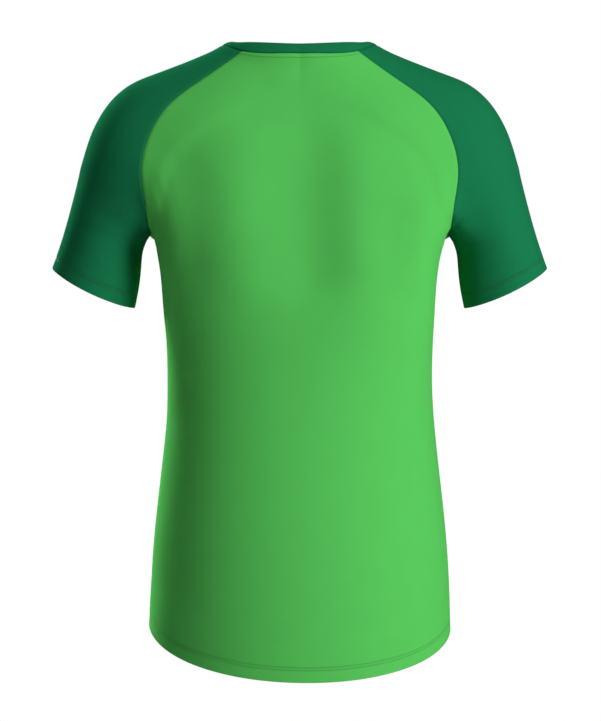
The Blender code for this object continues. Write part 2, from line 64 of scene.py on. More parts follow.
# --- the body, from the neck down
Section = namedtuple("Section", "height half_width back front squareness")
BODY = [Section(*row) for row in (
    (0.040, 0.0620, 0.050, 0.056, 2.00),
    (0.000, 0.0660, 0.053, 0.062, 2.00),
    (-0.030, 0.0920, 0.066, 0.072, 2.20),
    (-0.070, 0.1480, 0.087, 0.090, 2.80),
    (-0.120, 0.1840, 0.105, 0.110, 3.20),
    (-0.165, 0.1790, 0.114, 0.122, 3.70),
    (-0.210, 0.1635, 0.117, 0.127, 4.20),
    (-0.240, 0.1558, 0.116, 0.126, 3.90),
    (-0.290, 0.1512, 0.112, 0.122, 3.00),
    (-0.380, 0.1482, 0.107, 0.116, 2.25),
    (-0.460, 0.1543, 0.114, 0.115, 2.10),
    (-0.560, 0.1650, 0.126, 0.118, 2.05),
    (-0.640, 0.1690, 0.130, 0.121, 2.05),
    (-0.760, 0.1690, 0.131, 0.122, 2.05),
)]

# --- the sleeve, from the neck out
Station = namedtuple("Station", "run out height radius depth centre")
SLEEVE = [Station(*row) for row in (
    (0.00, 0.0200, -0.0405, 0.0500, 0.056, 0.002),
    (0.12, 0.0780, -0.0620, 0.0530, 0.060, 0.002),
    (0.30, 0.1370, -0.0885, 0.0590, 0.067, 0.002),
    (0.40, 0.1601, -0.1021, 0.0621, 0.070, 0.001),
    (0.50, 0.1760, -0.1190, 0.0588, 0.073, 0.001),
    (0.60, 0.1847, -0.1420, 0.0584, 0.074, 0.001),
    (0.66, 0.1902, -0.1580, 0.0580, 0.0733, 0.0005),
    (0.70, 0.1951, -0.1690, 0.0570, 0.072, 0.000),
    (0.74, 0.2014, -0.1801, 0.0542, 0.0698, -0.0005),
    (0.85, 0.2195, -0.2170, 0.0442, 0.062, -0.002),
    (0.92, 0.2270, -0.2490, 0.0472, 0.058, -0.003),
    (1.00, 0.2360, -0.2850, 0.0498, 0.056, -0.004),
    (1.15, 0.2600, -0.3500, 0.0510, 0.056, -0.006),
)]
SLEEVE_SPANS = 96  # straight lengths its centre line is cut into
NECK_RUN, ARMPIT_RUN, CUFF_RUN = 0.10, 0.84, 0.96  # where a sleeve's rows lie on its centre line
RUN_AHEAD = 0.01  # a step along it that shows its direction

ARMPIT_HEIGHT = -0.212
SHOULDER_HEIGHT = -0.090
ARMPIT_MELT = 0.0012
SHOULDER_MELT = 0.0160
UNDERARM_WIDTH = 0.050
PULL_FADES = 0.028
MIDDLE_SOFT = 0.012  # rounds the middle, where a squarish level has a flat spot
MELT_SHARE = 0.25

# --- neckline and seams
NeckPoint = namedtuple("NeckPoint", "angle across depth height")
NECK_SEAM = [NeckPoint(*row) for row in (
    (0, 0.0000, 0.061, -0.0180),
    (46, 0.0628, 0.047, -0.0140),
    (90, 0.0860, 0.003, -0.0030),
    (135, 0.0640, -0.055, -0.0520),
    (180, 0.0000, -0.088, -0.0860),
)]
NECK_EDGE = [NeckPoint(*row) for row in (
    (0, 0.0000, 0.0585, -0.0045),
    (46, 0.0560, 0.0430, -0.0017),
    (68, 0.0697, 0.0256, -0.0008),
    (90, 0.0745, 0.0030, -0.0004),
    (135, 0.0550, -0.0500, -0.0410),
    (180, 0.0000, -0.0800, -0.0735),
)]
CORNER = {BACK: 46, FRONT: 122}  # angles at which the raglan seams meet the neckline
MIDDLE = {BACK: 0, FRONT: 180}
SeamPoint = namedtuple("SeamPoint", "across height")
RAGLAN = {
    BACK: [SeamPoint(0.109, -0.0455), SeamPoint(0.143, -0.0725), SeamPoint(0.1655, -0.110),
           SeamPoint(0.1728, -0.148), SeamPoint(0.1688, -0.182)],
    FRONT: [SeamPoint(0.107, -0.073), SeamPoint(0.135, -0.098), SeamPoint(0.156, -0.128),
            SeamPoint(0.166, -0.159), SeamPoint(0.1675, -0.187)],
}
ARMPIT_ACROSS = 0.1665
ARMPIT_SEARCH = 0.035
BEYOND = 0.200  # further out than any depth of the shirt
DEEPEST_END = 0.98
MIDDLE_HEIGHT = -0.300
SLEEVE_ROW_SAG = 0.026
SLEEVE_ROW_SPREAD = 0.31  # as a share of the raglan seam's rows

# --- hem and cuffs
HEM_SIDE = -0.6550
HEM_DROP = {BACK: 0.0430, FRONT: 0.0300}
HEM_TURN = 0.10
HEM_TILT = 0.0030
CUFF_OUTER = SeamPoint(0.2770, -0.2513)
CUFF_INNER = SeamPoint(0.1880, -0.2950)
CUFF_SAG = 0.0050

# --- folds and creases
# Soft ridges (height above 0) and troughs (below 0) along a line on one face of the shirt.
Fold = namedtuple("Fold", "face x_top z_top x_low z_low width height")
FOLDS = [Fold(*row) for row in (
    (BACK, -0.010, -0.110, -0.014, -0.260, 0.034, -0.0045),
    (BACK, 0.066, -0.120, 0.064, -0.260, 0.035, 0.0050),
    (BACK, -0.064, -0.140, -0.064, -0.235, 0.030, 0.0035),
    (BACK, 0.152, -0.245, 0.140, -0.300, 0.020, 0.0020),
    (BACK, 0.188, -0.196, 0.194, -0.285, 0.018, 0.0030),
    (BACK, -0.184, -0.212, -0.190, -0.290, 0.018, 0.0035),
    (FRONT, 0.150, -0.215, 0.092, -0.285, 0.018, -0.0045),
    (FRONT, -0.150, -0.215, -0.098, -0.295, 0.018, -0.0040),
    (FRONT, 0.018, -0.180, 0.026, -0.420, 0.034, -0.0040),
    (FRONT, -0.056, -0.300, -0.044, -0.560, 0.032, 0.0030),
    (FRONT, 0.078, -0.330, 0.070, -0.600, 0.034, 0.0030),
    *((face, side * 0.1668, -0.201, side * 0.1668, -0.219, 0.0075, -0.0038)
      for side in (LEFT, RIGHT) for face in (BACK, FRONT)),
)]
CREASES = [Fold(*row) for row in (
    (BACK, 0.122, -0.150, 0.119, -0.245, 0.0260, -0.0034),
    (BACK, 0.014, -0.024, 0.010, -0.082, 0.0400, -0.0022),
    (BACK, 0.064, -0.112, 0.026, -0.166, 0.0380, -0.0026),
    (BACK, 0.048, -0.034, 0.046, -0.074, 0.0300, -0.0020),
    (BACK, -0.014, -0.036, -0.050, -0.074, 0.0300, -0.0018),
    (BACK, -0.103, -0.206, -0.108, -0.274, 0.0290, -0.0034),
    (BACK, 0.144, -0.425, 0.147, -0.596, 0.0300, -0.0025),
    (FRONT, 0.136, -0.236, 0.106, -0.274, 0.0090, -0.0015),
    (FRONT, -0.138, -0.238, -0.104, -0.282, 0.0085, -0.0014),
    (FRONT, 0.112, -0.118, 0.124, -0.176, 0.0140, -0.0011),
    (FRONT, -0.110, -0.124, -0.120, -0.170, 0.0150, -0.0012),
    (FRONT, 0.044, -0.130, 0.070, -0.230, 0.0260, 0.0013),
    (FRONT, -0.050, -0.128, -0.072, -0.210, 0.0240, 0.0011),
    (FRONT, 0.104, -0.440, 0.118, -0.600, 0.0260, -0.0014),
    (FRONT, -0.096, -0.400, -0.112, -0.585, 0.0280, -0.0013),
    (FRONT, 0.016, -0.500, 0.008, -0.655, 0.0300, 0.0012),
    (FRONT, 0.190, -0.120, 0.212, -0.200, 0.0130, -0.0012),
    (FRONT, -0.192, -0.112, -0.214, -0.204, 0.0120, -0.0013),
    (FRONT, 0.220, -0.168, 0.240, -0.238, 0.0140, 0.0009),
    (FRONT, -0.218, -0.172, -0.236, -0.230, 0.0130, 0.0010),
    (FRONT, 0.184, -0.216, 0.202, -0.254, 0.0080, -0.0010),
    (FRONT, -0.184, -0.214, -0.204, -0.250, 0.0075, -0.0012),
)]
FACE_TURN = 0.030
CREASE_FADES = 0.016  # from the neck seam, where the cloth lies flat

# --- how finely the cloth is laid
RAGLAN_ROWS, SIDE_ROWS, UNDERARM_ROWS = 22, 26, 9
BODY_COLUMNS, SLEEVE_COLUMNS = 44, 36
SEAM_FINER, ROW_FINER = 10, 2
SIDE_BUNCHING, UNDERARM_BUNCHING = 1.25, 1.15
FINE_ROWS = {"body": 132, "sleeve": 104}
FINE_COLUMNS = {"body": 132, "sleeve": 96}

# Distances from a hem, a raglan seam or the neck seam at which fine rows are laid.
HEM_STEPS = np.array([0, 0.5, 1.1, 2, 3.5, 5.5, 8, 10, 11, 11.6, 12, 12.4, 12.8, 13.2, 13.95,
                      14.7, 15.1, 15.5, 15.9, 16.3, 17, 18, 19, 20.5, 23]) / 1000
SEAM_STEPS = np.array([0, 0.5, 1, 1.6, 2.4, 3.4, 4.6, 6, 8, 10.5]) / 1000
NECK_STEPS = np.array([0, 0.5, 1, 1.7, 2.6, 3.6, 4.4, 4.9, 5.3, 5.7, 6.1, 6.6, 7.4, 9, 12]) / 1000
HEM_LINES = (0.0124, 0.0155)  # the double needle's two rows of stitches, from the edge
NECK_LINE = 0.0057  # the row of stitches on the body below the neckband

# --- relief of the cloth and its sewing
SURFACE_RISE = 0.00035  # brings the outside of the cloth level with the solid's
SEAM_BELL = 0.0020  # half widths of the dips at a seam and at a row of stitches
STITCH_BELL = 0.0006
STITCH_DEPTH = 0.00028
HEM_SWELL, HEM_SWELL_WIDTH = 0.0003, 0.012
HEM_CURL = (30, 60, 90, 120, 150)  # degrees at which rows lie round a turned edge
# Painted shade: how much the cloth's colour is darkened along its seams and stitch lines, and on
# the inside.
SEAM_SHADE, SEAM_SHADE_WIDTH = 0.30, 0.0006
STITCH_SHADE, STITCH_SHADE_WIDTH = 0.60, 0.0004
INSIDE_SHADE = 0.5  # of these shades, on the inside of the cloth

# --- neckband and thread
NECKBAND_CELLS = 150
BAND_TURNS = 24
BAND_THICKNESS = 0.0019
BAND_LIFT = -0.0006  # its seamed edge is tucked this far under the body
BAND_BOW = 0.0008
BAND_END_SHARPNESS, BAND_FACE_SHARPNESS = 0.55, 0.75
THREAD_SIDES, THREAD_RINGS = 6, 6
THREAD_SHARE = 0.80  # how much of a stitch's length shows above the cloth
THREAD_RISE, THREAD_ARCH = 1.15, 6.0  # its height at its middle, and how that falls to its ends
THREAD_TIP = 0.05  # the least share of its section left at its ends

# --- finishes
CLOTH_ROUGHNESS, SHEEN_ROUGHNESS = 0.75, 0.45
BODY_SHEEN, BODY_MOTTLE = 0.02, 0.012
SLEEVE_SHEEN, SLEEVE_MOTTLE = 0.015, 0.015
MOTTLE_SCALE, MOTTLE_DETAIL = 42, 4
MOTTLE_RANGE = (0.3, 0.7)  # of the noise, stretched from the darkest to the lightest
COURSE_SHARE = 0.8  # height of a row of loops as a share of a wale
LOOP_ALONG, LOOP_ACROSS = 1.6, 1.3  # keep both waves of the loops above 0
# Painted shade between the knit's loops and painted highlight on their tops: LOOP_SHADE scales the
# colour over the loops' height.
LOOP_RANGE, LOOP_SHADE = (0.0, 6.0), (0.90, 1.06)
Relief = namedtuple("Relief", "strength distance")
KNIT_RELIEF, SOFT_RELIEF = Relief(0.30, 0.00012), Relief(0.22, 0.0012)
TWIST_RELIEF, TWIST_SCALE = Relief(0.3, 0.0001), 900
# The thread's darkening is partly its own tone and partly painted shade of the stitch line.
THREAD_SHADE = 0.8  # of the cloth's colour
THREAD_ROUGHNESS, THREAD_SHEEN = 0.5, 0.2
FLOOR_ROUGHNESS, FLOOR_SHINE = 0.9, 0.1
WHITE = (1, 1, 1, 1)

# --- picture
PHOTO_WIDTH, PHOTO_HEIGHT = 601, 721
PIXELS_PER_METRE = 887.5
MIDDLE_PIXEL = (299.7, 45.0)  # where the origin lies in the picture
SENSOR = 36.0
SHIRT_MIDDLE = (0, 0, -0.33)
Lamp = namedtuple("Lamp", "name place width height")
LAMPS = [Lamp(*row) for row in (
    ("key", (-2.42, 2.15, 0.30), 1.2, 1.8),
    ("rim", (1.42, -1.92, 0.69), 0.6, 1.6),
    ("top", (0.71, 0.60, 2.52), 1.4, 1.4),
    ("front", (-0.90, -2.60, 0.60), 1.8, 1.8),
)]
FLOOR_COLOUR = (0.45, 0.45, 0.45)
FLOOR_RINGS, FLOOR_SPOKES = 5, 96
# The floor's painted light: it glows, faintly at its middle and strongly at its edge.
FLOOR_GLOW_FROM = 0.60  # as a share of its radius
FLOOR_GLOW = (0.02, 0.90)  # at its middle and at its edge
FARTHEST_SEEN = 200


# --- sizes and colours
class ShirtCloth(bpy.types.PropertyGroup):
    """Sizes and colours of the cloth and its sewing."""
    thickness: bpy.props.FloatProperty(
        name="Cloth thickness", description="Thickness of one layer of the knit",
        default=0.0008, min=0.0003, max=0.0015, unit="LENGTH")
    fold_radius: bpy.props.FloatProperty(
        name="Fold radius", description="Radius of a turned edge, to the middle of the cloth",
        default=0.00055, min=0.0003, max=0.0015, unit="LENGTH")
    hem_depth: bpy.props.FloatProperty(
        name="Hem depth", description="How far the hem and the cuffs are turned up inside",
        default=0.0180, min=0.008, max=0.030, unit="LENGTH")
    seam_dip: bpy.props.FloatProperty(
        name="Seam dip", description="How far the cloth sinks into a seam",
        default=0.0009, min=0.0, max=0.003, unit="LENGTH")
    wale: bpy.props.FloatProperty(
        name="Wale width", description="Width of one column of knit loops",
        default=0.0010, min=0.0005, max=0.004, unit="LENGTH")
    stitch: bpy.props.FloatProperty(
        name="Stitch length", description="Length of one stitch with the space after it",
        default=0.0030, min=0.0015, max=0.006, unit="LENGTH")
    thread: bpy.props.FloatProperty(
        name="Thread radius", description="Radius of the sewing thread",
        default=0.00022, min=0.0001, max=0.0006, unit="LENGTH")
    body_colour: bpy.props.FloatVectorProperty(
        name="Body colour", description="Colour of the back and the front",
        default=(0.100, 0.575, 0.108), size=3, min=0, max=1, subtype="COLOR")
    sleeve_colour: bpy.props.FloatVectorProperty(
        name="Sleeve colour", description="Colour of the sleeves and the neckband",
        default=(0.0100, 0.192, 0.074), size=3, min=0, max=1, subtype="COLOR")


class ShirtStudio(bpy.types.PropertyGroup):
    """The floor, the lights and the camera."""
    distance: bpy.props.FloatProperty(
        name="Camera distance", description="How far the camera stands from the shirt",
        default=2.80, min=1.0, max=10.0, unit="LENGTH")
    height: bpy.props.FloatProperty(
        name="Camera height", description="Height of the camera above the neck opening",
        default=-0.25, min=-2.0, max=3.0, unit="LENGTH")
    floor_height: bpy.props.FloatProperty(
        name="Floor height", description="Height of the floor, as far down as a wearer's feet",
        default=-1.45, min=-3.0, max=-0.75, unit="LENGTH")
    floor_radius: bpy.props.FloatProperty(
        name="Floor radius", description="Radius of the round pale floor", default=2.60, min=1.0,
        max=20.0, unit="LENGTH")
    key_power: bpy.props.FloatProperty(
        name="Key power", description="Power of the large soft light beside the camera",
        default=101.0, min=0.0, unit="POWER")
    rim_power: bpy.props.FloatProperty(
        name="Rim power", description="Power of the light along the far edge", default=122.0,
        min=0.0, unit="POWER")
    top_power: bpy.props.FloatProperty(
        name="Top power", description="Power of the weak light above the back", default=31.0,
        min=0.0, unit="POWER")
    front_power: bpy.props.FloatProperty(
        name="Front power", description="Power of the weak light on the front", default=4.0,
        min=0.0, unit="POWER")
    surround: bpy.props.FloatProperty(
        name="Surround", description="Light from the room around the shirt", default=0.01,
        min=0.0, max=2.0)


def cloth_sizes():
    """The cloth's sizes and colours as they are set in the scene."""
    return bpy.context.scene.shirt_cloth


def studio_sizes():
    """The studio's sizes as they are set in the scene."""
    return bpy.context.scene.shirt_studio


# --- smooth curves through tables
def spline(knots, values, at):
    """Natural cubic through a table: its bend is continuous at every row and none at the ends."""
    gap = np.diff(knots)
    inner = np.arange(1, len(knots) - 1)
    system = np.eye(len(knots))
    system[inner, inner - 1], system[inner, inner + 1] = gap[:-1], gap[1:]
    system[inner, inner] = 2 * (gap[:-1] + gap[1:])
    target = np.zeros_like(values)
    target[1:-1] = 6 * np.diff(np.diff(values, axis=0) / gap[:, None], axis=0)
    bend = np.linalg.solve(system, target)
    at = np.clip(at, knots[0], knots[-1])
    span = np.clip(np.searchsorted(knots, at) - 1, 0, len(gap) - 1)
    left = ((knots[span + 1] - at) / gap[span])[..., None]
    right = 1 - left
    straight = left * values[span] + right * values[span + 1]
    swing = (left ** 3 - left) * bend[span] + (right ** 3 - right) * bend[span + 1]
    return straight + (gap[span] ** 2)[..., None] / 6 * swing


def read_table(rows, at):
    """A table's other columns at any value of its first column, as a smooth curve."""
    table = np.array(sorted(rows), dtype=float)
    return np.moveaxis(spline(table[:, 0], table[:, 1:], np.asarray(at, dtype=float)), -1, 0)


def read_lines(lines, at):
    """Smooth curves through evenly numbered points: at gives each line's own places along it."""
    knots = np.arange(lines.shape[1], dtype=float)
    return np.array([spline(knots, line, places) for line, places in zip(lines, at)])


def smooth_step(value):
    """0 below 0, 1 above 1, and a soft S between."""
    value = np.clip(value, 0, 1)
    return value * value * (3 - 2 * value)


def unit(vectors):
    """The same directions with a length of 1."""
    return vectors / np.linalg.norm(vectors, axis=-1, keepdims=True)


def lengths(line):
    """How far along a line each of its points lies."""
    return np.concatenate([[0], np.cumsum(np.linalg.norm(np.diff(line, axis=0), axis=-1))])


def read_along(values, length, at):
    """Values that belong to a line's points, read at any distances along it."""
    return np.stack([np.interp(at, length, axis) for axis in values.T], axis=-1)


# --- the garment form
def body_gap(points):
    """Distance outside the body: each level is a superellipse, deeper in front than behind."""
    depth, height = points[..., 1], points[..., 2]
    half_width, back, front, squareness = read_table(BODY, height)
    across = np.hypot(points[..., 0], MIDDLE_SOFT)
    half_width = np.hypot(half_width, MIDDLE_SOFT)
    half_depth = np.where(depth > 0, back, front)
    reach = np.hypot(across, depth) + TINY
    ratio = (across / half_width) ** squareness + (np.abs(depth) / half_depth) ** squareness
    return reach - reach / (ratio ** (1 / squareness) + TINY)


def sleeve_gap(points):
    """Distance outside the sleeve: an ellipse round the nearest place on its centre line."""
    run = np.linspace(SLEEVE[0].run, SLEEVE[-1].run, SLEEVE_SPANS + 1)
    path = np.stack(read_table(SLEEVE, run)[:2], axis=-1)
    start, step = path[:-1], np.diff(path, axis=0)
    place = np.stack([np.abs(points[..., 0]), points[..., 2]], axis=-1)[..., None, :]
    along = np.clip(((place - start) * step).sum(-1) / (step * step).sum(-1), 0, 1)
    distance = np.linalg.norm(place - start - along[..., None] * step, axis=-1)
    nearest = distance.argmin(-1)[..., None]
    aside = np.take_along_axis(distance, nearest, -1)[..., 0]
    along = (nearest + np.take_along_axis(along, nearest, -1))[..., 0]
    radius, half_depth, centre = read_table(SLEEVE, run[0] + along * (run[1] - run[0]))[2:]
    depth = points[..., 1] - centre
    reach = np.hypot(aside, depth) + TINY
    return reach - reach / (np.hypot(aside / radius, depth / half_depth) + TINY)


def fold_height(points, folds):
    """How far folds raise the cloth: each is a bell across its line, fading at the ends."""
    raised = np.zeros(points.shape[:-1])
    place = points[..., [0, 2]]
    for fold in folds:
        top = np.array([fold.x_top, fold.z_top])
        step = np.array([fold.x_low, fold.z_low]) - top
        along = np.clip(((place - top) @ step) / (step @ step), 0, 1)
        distance = np.linalg.norm(place - top - along[..., None] * step, axis=-1)
        face = 0.5 + 0.5 * np.tanh(fold.face * points[..., 1] / FACE_TURN)
        raised += fold.height * face * np.exp(-(distance / fold.width) ** 2)
    return raised


def form_gap(points):
    """Distance outside the garment form: body and sleeve melted together, raised by the folds."""
    rise = (points[..., 2] - ARMPIT_HEIGHT) / (SHOULDER_HEIGHT - ARMPIT_HEIGHT)
    tight = (1 - smooth_step(rise)) * np.exp(-(points[..., 1] / UNDERARM_WIDTH) ** 4)
    melt = SHOULDER_MELT - (SHOULDER_MELT - ARMPIT_MELT) * tight
    sleeve = sleeve_gap(points)
    sleeve = sleeve * (1 + smooth_step((sleeve - PULL_FADES) / PULL_FADES) / MELT_SHARE)
    joined = -melt * np.logaddexp(-body_gap(points) / melt, -sleeve / melt)
    return joined - fold_height(points, FOLDS)


def form_slope(points, nudge=0.0002):
    """The direction in which the distance outside the form grows fastest."""
    axes = np.eye(3) * nudge
    change = [form_gap(points + axis) - form_gap(points - axis) for axis in axes]
    return np.stack(change, axis=-1) / (2 * nudge)


def pull_to_form(points, rounds=5, longest=0.015):
    """Moves points straight towards the form's surface until they lie on it."""
    for _ in range(rounds):
        slope = form_slope(points)
        move = -slope * (form_gap(points) / (slope ** 2).sum(-1))[..., None]
        length = np.linalg.norm(move, axis=-1, keepdims=True)
        points = points + move * np.minimum(1, longest / (length + TINY))
    return points


def cross_form(inside, outside, rounds=30):
    """The point where the line from inside to outside leaves the form, by halving."""
    for _ in range(rounds):
        middle = (inside + outside) / 2
        within = (form_gap(middle) < 0)[..., None]
        inside = np.where(within, middle, inside)
        outside = np.where(within, outside, middle)
    return (inside + outside) / 2


# --- seams
def space_out(line, share):
    """Points of a line at the given shares of its length."""
    length = lengths(line)
    return read_along(line, length, share * length[-1])


def neck_point(rows, side, angle):
    """A point on a closed neck curve: the table's half turn, mirrored about its two ends."""
    before = [NeckPoint(-row.angle, -row.across, row.depth, row.height) for row in rows[1:3]]
    beyond = [NeckPoint(360 - row.angle, -row.across, row.depth, row.height)
              for row in rows[-3:-1]]
    across, depth, height = read_table(before + rows + beyond, angle)
    return np.stack([side * across, depth, height], axis=-1)


def neck_line(side, first, last, cells):
    """The neck seam between two angles, evenly spaced on the form."""
    fine = pull_to_form(neck_point(NECK_SEAM, side, np.linspace(first, last, 4 * cells + 1)))
    return space_out(fine, np.linspace(0, 1, cells + 1))


@functools.lru_cache(None)
def armpit_point(side):
    """Where the gap between the sleeve and the body closes, at its given distance out."""
    inside = np.array([side * ARMPIT_ACROSS, 0, ARMPIT_HEIGHT + ARMPIT_SEARCH])
    outside = np.array([side * ARMPIT_ACROSS, 0, ARMPIT_HEIGHT - ARMPIT_SEARCH])
    return cross_form(inside, outside)


@functools.lru_cache(None)
def raglan_seam(side, face):
    """A raglan seam from the neckline to the armpit, evenly spaced on the back or front."""
    top = pull_to_form(neck_point(NECK_SEAM, side, float(CORNER[face])))
    end = armpit_point(side)
    middle = [[side * row.across, row.height] for row in RAGLAN[face]]
    plan = np.array([top[[0, 2]], *middle, end[[0, 2]]])
    length = lengths(plan)
    share = 1 - (1 - np.linspace(0, 1, SEAM_FINER * RAGLAN_ROWS)[1:-1]) ** 2
    flat = spline(length, plan, share * length[-1])
    inside = np.stack([flat[:, 0], 0 * flat[:, 0], flat[:, 1]], axis=-1)
    fine = np.concatenate([[top], cross_form(inside, inside + [0, face * BEYOND, 0]), [end]])
    return space_out(fine, np.linspace(0, 1, RAGLAN_ROWS + 1))


def hem_height(across, round_share, face):
    """Height of the hem: round_share is 0 at a side seam and 1 at the middle of a face."""
    soft = np.hypot(round_share, HEM_TURN) - HEM_TURN
    full = np.hypot(1, HEM_TURN) - HEM_TURN
    return HEM_SIDE - HEM_DROP[face] * soft / full + HEM_TILT * across / BODY[-1].half_width


@functools.lru_cache(None)
def side_seam(side):
    """From the armpit down the side of the body to the hem."""
    top = armpit_point(side)
    corner = side * BODY[-1].half_width
    low = pull_to_form(np.array([corner, 0, hem_height(corner, 0, BACK)]))
    share = np.linspace(0, 1, SEAM_FINER * SIDE_ROWS + 1)[1:]
    height = top[2] + (low[2] - top[2]) * share ** 2
    half_width = read_table(BODY, height)[0]
    fine = pull_to_form(np.stack([side * half_width, 0 * half_width, height], axis=-1))
    fine = np.concatenate([[top], fine])
    return space_out(fine, np.linspace(0, 1, SIDE_ROWS + 1) ** SIDE_BUNCHING)


def cuff_ring(side, angle):
    """The cuff: angle 0 is its outer corner, 180 its inner one, and -90 its front."""
    outer, inner = np.array(CUFF_OUTER), np.array(CUFF_INNER)
    middle, arm = (outer + inner) / 2, (outer - inner) / 2
    turn = np.radians(angle)
    flat = middle + arm * np.cos(turn)[..., None]
    sag = CUFF_SAG * np.sin(turn) ** 2
    depth = SLEEVE[-2].centre + SLEEVE[-2].depth * np.sin(turn)
    return pull_to_form(np.stack([side * flat[..., 0], depth, flat[..., 1] - sag], axis=-1))


@functools.lru_cache(None)
def underarm_seam(side):
    """From the armpit down the inner side of the sleeve to the cuff."""
    top = armpit_point(side)
    low = cuff_ring(side, np.array(180.0))
    share = np.linspace(0, 1, SEAM_FINER * UNDERARM_ROWS + 1)[:, None]
    fine = np.concatenate([[top], pull_to_form((top + (low - top) * share)[1:])])
    return space_out(fine, np.linspace(0, 1, UNDERARM_ROWS + 1) ** UNDERARM_BUNCHING)


# --- coarse grids of each panel
def lay_piece(guess, top, low, left, right, columns):
    """A panel's coarse grid: the guess is shifted to meet its four seams, pulled and evened."""
    down = np.linspace(0, 1, guess.shape[0])[:, None, None]
    across = np.linspace(0, 1, guess.shape[1])[None, :, None]
    fine = guess + (1 - down) ** 2 * (top - guess[0]) + down ** 2 * (low - guess[-1])
    fine = fine + (1 - across) ** 2 * (left - fine[:, 0])[:, None]
    fine = pull_to_form(fine + across ** 2 * (right - fine[:, -1])[:, None])
    fine[0], fine[-1], fine[:, 0], fine[:, -1] = top, low, left, right
    share = np.linspace(0, 1, columns + 1)
    grid = pull_to_form(np.stack([space_out(row, share) for row in fine]), rounds=3)
    grid[:, 0], grid[:, -1] = left, right
    return grid


def hem_line(face, left, right, cells):
    """The hem from one side seam round the back or front to the other."""
    turn = np.radians(np.linspace(90, -90, cells + 1))
    half_width, back, front, _ = read_table(BODY, HEM_SIDE)
    half_depth = back if face == BACK else front
    across = half_width * np.sin(turn)
    line = pull_to_form(np.stack([across, face * half_depth * np.cos(turn),
                                  hem_height(across, np.cos(turn), face)], axis=-1))
    line[:, 2] = hem_height(line[:, 0], np.abs(line[:, 1]) / half_depth, face)
    line[0], line[-1] = left, right
    return pull_to_form(line)


@functools.lru_cache(None)
def body_panel(face):
    """The back or the front: each row is an arc of an ellipse from the +X seam to the -X seam."""
    fine = ROW_FINER * BODY_COLUMNS
    left = np.concatenate([raglan_seam(LEFT, face), side_seam(LEFT)[1:]])
    right = np.concatenate([raglan_seam(RIGHT, face), side_seam(RIGHT)[1:]])
    half = neck_line(LEFT, CORNER[face], MIDDLE[face], fine // 2)
    other = neck_line(RIGHT, MIDDLE[face], CORNER[face], fine // 2)
    top = np.concatenate([half, other[1:]])
    low = hem_line(face, left[-1], right[-1], fine)
    above = np.linspace(top[fine // 2, 2], MIDDLE_HEIGHT, RAGLAN_ROWS + 1)
    below = np.linspace(MIDDLE_HEIGHT, low[fine // 2, 2], SIDE_ROWS + 1)
    height = np.concatenate([above, below[1:]])
    depth = face * read_table(BODY, height)[1 if face == BACK else 2]
    middle = np.stack([0 * height, depth, height], axis=-1)
    between = (left + right) / 2
    first = np.arcsin(np.clip(between[:, 1] / middle[:, 1], 0, DEEPEST_END))[:, None]
    turn = first + (np.pi - 2 * first) * np.linspace(0, 1, fine + 1)
    swing = (np.cos(turn) / np.cos(first))[..., None] * (left - right)[:, None] / 2
    rise = ((np.sin(turn) - np.sin(first)) / (1 - np.sin(first)))[..., None]
    guess = between[:, None] + swing + (middle - between)[:, None] * rise
    return lay_piece(guess, top, low, left, right, BODY_COLUMNS)


def seam_turn(seam, middle, outward, half_depth):
    """How far round the sleeve's ellipse a seam lies, from its outer side, in radians."""
    away = seam - middle
    out = (away * outward).sum(-1) / (outward ** 2).sum(-1)
    return np.arctan2(np.abs(away[:, 1]) / half_depth, out)


@functools.lru_cache(None)
def sleeve_panel(side):
    """A sleeve: rows are ellipses square to its centre line, from the back seam to the front."""
    back = np.concatenate([raglan_seam(side, BACK), underarm_seam(side)[1:]])
    front = np.concatenate([raglan_seam(side, FRONT), underarm_seam(side)[1:]])
    raglan_run = np.linspace(NECK_RUN, ARMPIT_RUN, RAGLAN_ROWS + 1)
    run = np.concatenate([raglan_run, np.linspace(ARMPIT_RUN, CUFF_RUN, UNDERARM_ROWS + 1)[1:]])
    out, height, radius, half_depth, centre = read_table(SLEEVE, run)
    ahead = np.array(read_table(SLEEVE, run + RUN_AHEAD)[:2]) - np.array([out, height])
    ahead = ahead / np.linalg.norm(ahead, axis=0)
    middle = np.stack([side * out, centre, height], axis=-1)
    outward = np.stack([-side * ahead[1], 0 * out, ahead[0]], axis=-1) * radius[:, None]
    turn_back = seam_turn(back, middle, outward, half_depth)
    turn_front = seam_turn(front, middle, outward, half_depth)
    turn_back[RAGLAN_ROWS:] = np.pi
    turn_front[RAGLAN_ROWS:] = np.pi
    fine = ROW_FINER * SLEEVE_COLUMNS
    share = np.linspace(0, 1, fine + 1)[None, :]
    turn = turn_back[:, None] * (1 - share) - turn_front[:, None] * share
    guess = middle[:, None] + outward[:, None] * np.cos(turn)[..., None]
    guess[..., 1] += half_depth[:, None] * np.sin(turn)
    from_armpit = (np.arange(len(run)) / RAGLAN_ROWS - 1) / SLEEVE_ROW_SPREAD
    sag = SLEEVE_ROW_SAG * np.exp(-from_armpit ** 2)
    guess[..., 2] -= sag[:, None] * np.abs(np.sin(turn))
    top = neck_line(side, CORNER[BACK], CORNER[FRONT], fine)
    low = cuff_ring(side, np.linspace(180, -180, fine + 1))
    return lay_piece(guess, top, low, back, front, SLEEVE_COLUMNS)


# --- fine cloth from a coarse grid
def edge_places(lines, first_steps, last_steps, count):
    """Places along each line: at given distances from its two ends, and evenly in between."""
    places = []
    for line in lines:
        length = lengths(line)
        low, high = first_steps[-1], length[-1] - last_steps[-1]
        between = np.linspace(low, high, count + 1)[1:-1]
        wanted = np.concatenate([first_steps, between, length[-1] - last_steps[::-1]])
        places.append(np.interp(wanted, length, np.arange(len(line))))
    return np.array(places)


